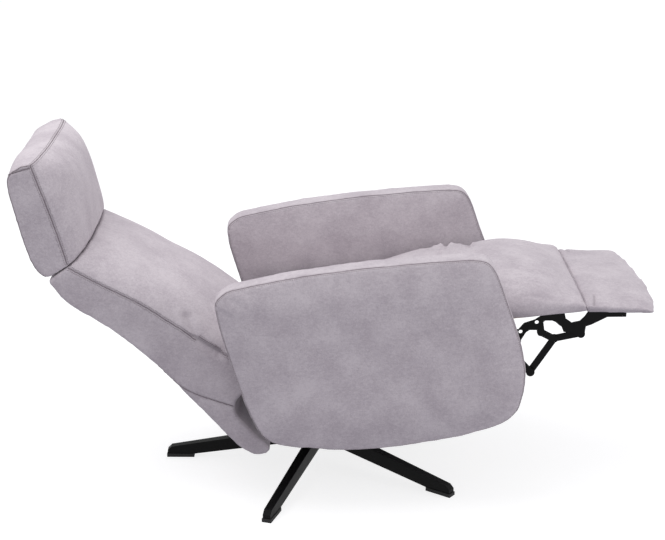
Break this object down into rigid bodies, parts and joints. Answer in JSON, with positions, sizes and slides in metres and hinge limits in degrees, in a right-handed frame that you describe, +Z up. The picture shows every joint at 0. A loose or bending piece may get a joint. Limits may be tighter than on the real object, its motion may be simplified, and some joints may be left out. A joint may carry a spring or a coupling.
{
  "type": "star base swivel recliner",
  "caption": "Upholstered swivel recliner on a star base, with curved arms, a reclining back, a tilting headrest and a fold-out footrest on a steel linkage.",
  "frame": {"origin": "swivel axis at the floor, between the star base's foot pads", "axes": "+X from the back towards the footrest, +Y to the sitter's left, +Z up along the swivel axis"},
  "size_m": [1.538, 0.7869, 0.8834],
  "materials": {
    "black_base": "satin powder coat",
    "black_links": "satin black e-coat",
    "black_frame": "matt black paint",
    "foot_rubber": "matt",
    "bearing_steel": "zinc plated",
    "rod_chrome": "polished",
    "motor_plastic": "matt moulded",
    "webbing": "woven elastic webbing",
    "board_wood": "plain birch plywood",
    "cover_fabric": "soft brushed upholstery fabric"
  },
  "bodies": {
    "base": {"base_hub": "black_base", "base_leg_1": "black_base", "base_leg_2": "black_base", "base_leg_3": "black_base", "base_leg_4": "black_base", "base_leg_5": "black_base", "foot_pads": "foot_rubber", "column": "black_base", "swivel_bearing": "bearing_steel"},
    "swivel_head": {"swivel_plate": "black_frame", "tilt_bracket": "black_frame", "tilt_pin": "bearing_steel", "tilt_buffers": "foot_rubber"},
    "seat_unit": {"tilt_saddle": "black_frame", "cradle_plates": "black_frame", "rail_left": "black_frame", "rail_right": "black_frame", "front_crossbar": "black_frame", "rear_crossbar": "black_frame", "seat_webbing": "webbing", "hinge_brackets": "black_links", "arm_core_left": "board_wood", "arm_core_right": "board_wood", "arm_strip_left": "cover_fabric", "arm_strip_right": "cover_fabric", "arm_outer_pad_left": "cover_fabric", "arm_outer_pad_right": "cover_fabric", "arm_inner_pad_left": "cover_fabric", "arm_inner_pad_right": "cover_fabric", "arm_bolts": "bearing_steel", "footrest_motor": "motor_plastic", "back_motor": "motor_plastic", "seat_cushion": "cover_fabric"},
    "backrest": {"back_uprights": "black_frame", "back_crossbars": "black_frame", "back_hinge_plates": "black_frame", "back_cross_pin": "bearing_steel", "back_side_left": "cover_fabric", "back_side_right": "cover_fabric", "back_rear_panel": "cover_fabric", "back_skirt": "cover_fabric", "back_cushion": "cover_fabric", "back_top_board": "board_wood", "headrest_hinges": "black_frame"},
    "headrest": {"headrest_core": "cover_fabric", "headrest_pad": "cover_fabric", "headrest_leaves": "black_frame"},
    "footrest_main": {"main_board": "board_wood", "main_brackets": "black_links", "lever_tube": "black_links", "main_pad": "cover_fabric"},
    "footrest_flap": {"flap_board": "board_wood", "flap_brackets": "black_links", "flap_pad": "cover_fabric"},
    "hinge_links": {"link_hinge_bars": "black_links"},
    "short_links": {"link_short_bars": "black_links"},
    "long_links": {"link_long_bars": "black_links"},
    "footrest_rod": {"footrest_rod": "rod_chrome"},
    "back_rod": {"back_rod": "rod_chrome"}
  },
  "joints": [
    {"name": "swivel", "type": "hinge", "parent": "base", "child": "swivel_head", "pos_m": [0, 0, 0.12], "axis": [0, 0, 1], "continuous": true},
    {"name": "seat_tilt", "type": "hinge", "parent": "swivel_head", "child": "seat_unit", "pos_m": [0, 0, 0.17], "axis": [0, 1, 0], "range_deg": [0, 6]},
    {"name": "back_recline", "type": "hinge", "parent": "seat_unit", "child": "backrest", "pos_m": [-0.11685, 0, 0.3729], "axis": [0, 1, 0], "range_deg": [0, 36]},
    {"name": "headrest_tilt", "type": "hinge", "parent": "backrest", "child": "headrest", "pos_m": [-0.64363, 0, 0.58057], "axis": [0, 1, 0], "range_deg": [-35, 0]},
    {"name": "footrest_fold", "type": "hinge", "parent": "seat_unit", "child": "footrest_main", "pos_m": [0.39549, 0, 0.473], "axis": [0, 1, 0], "range_deg": [0, 90]},
    {"name": "flap_fold", "type": "hinge", "parent": "footrest_main", "child": "footrest_flap", "pos_m": [0.59982, 0, 0.44229], "axis": [0, 1, 0], "range_deg": [0, 77.8]},
    {"name": "hinge_link_turn", "type": "hinge", "parent": "seat_unit", "child": "hinge_links", "pos_m": [0.39255, 0, 0.45892], "axis": [0, 1, 0], "range_deg": [0, 111.4]},
    {"name": "short_link_turn", "type": "hinge", "parent": "footrest_main", "child": "short_links", "pos_m": [0.53217, 0, 0.43156], "axis": [0, 1, 0], "range_deg": [0, 70.6]},
    {"name": "long_link_turn", "type": "hinge", "parent": "short_links", "child": "long_links", "pos_m": [0.56766, 0, 0.41257], "axis": [0, 1, 0], "range_deg": [-72.5, 0]},
    {"name": "footrest_rod_slide", "type": "slide", "parent": "seat_unit", "child": "footrest_rod", "axis": [0.9945, 0, 0.1045], "range_m": [-0.1415, 0]},
    {"name": "back_rod_slide", "type": "slide", "parent": "seat_unit", "child": "back_rod", "axis": [0.9945, 0, 0.1045], "range_m": [-0.0743, 0]}
  ],
  "couplings": [
    {"joint": "flap_fold", "follows": "footrest_fold", "ratio": 0.864},
    {"joint": "hinge_link_turn", "follows": "footrest_fold", "ratio": 1.2373},
    {"joint": "short_link_turn", "follows": "footrest_fold", "ratio": 0.7834},
    {"joint": "long_link_turn", "follows": "footrest_fold", "ratio": -0.8042},
    {"joint": "footrest_rod_slide", "follows": "footrest_fold", "m_per_rad": -0.090032},
    {"joint": "back_rod_slide", "follows": "back_recline", "m_per_rad": -0.11804}
  ]
}
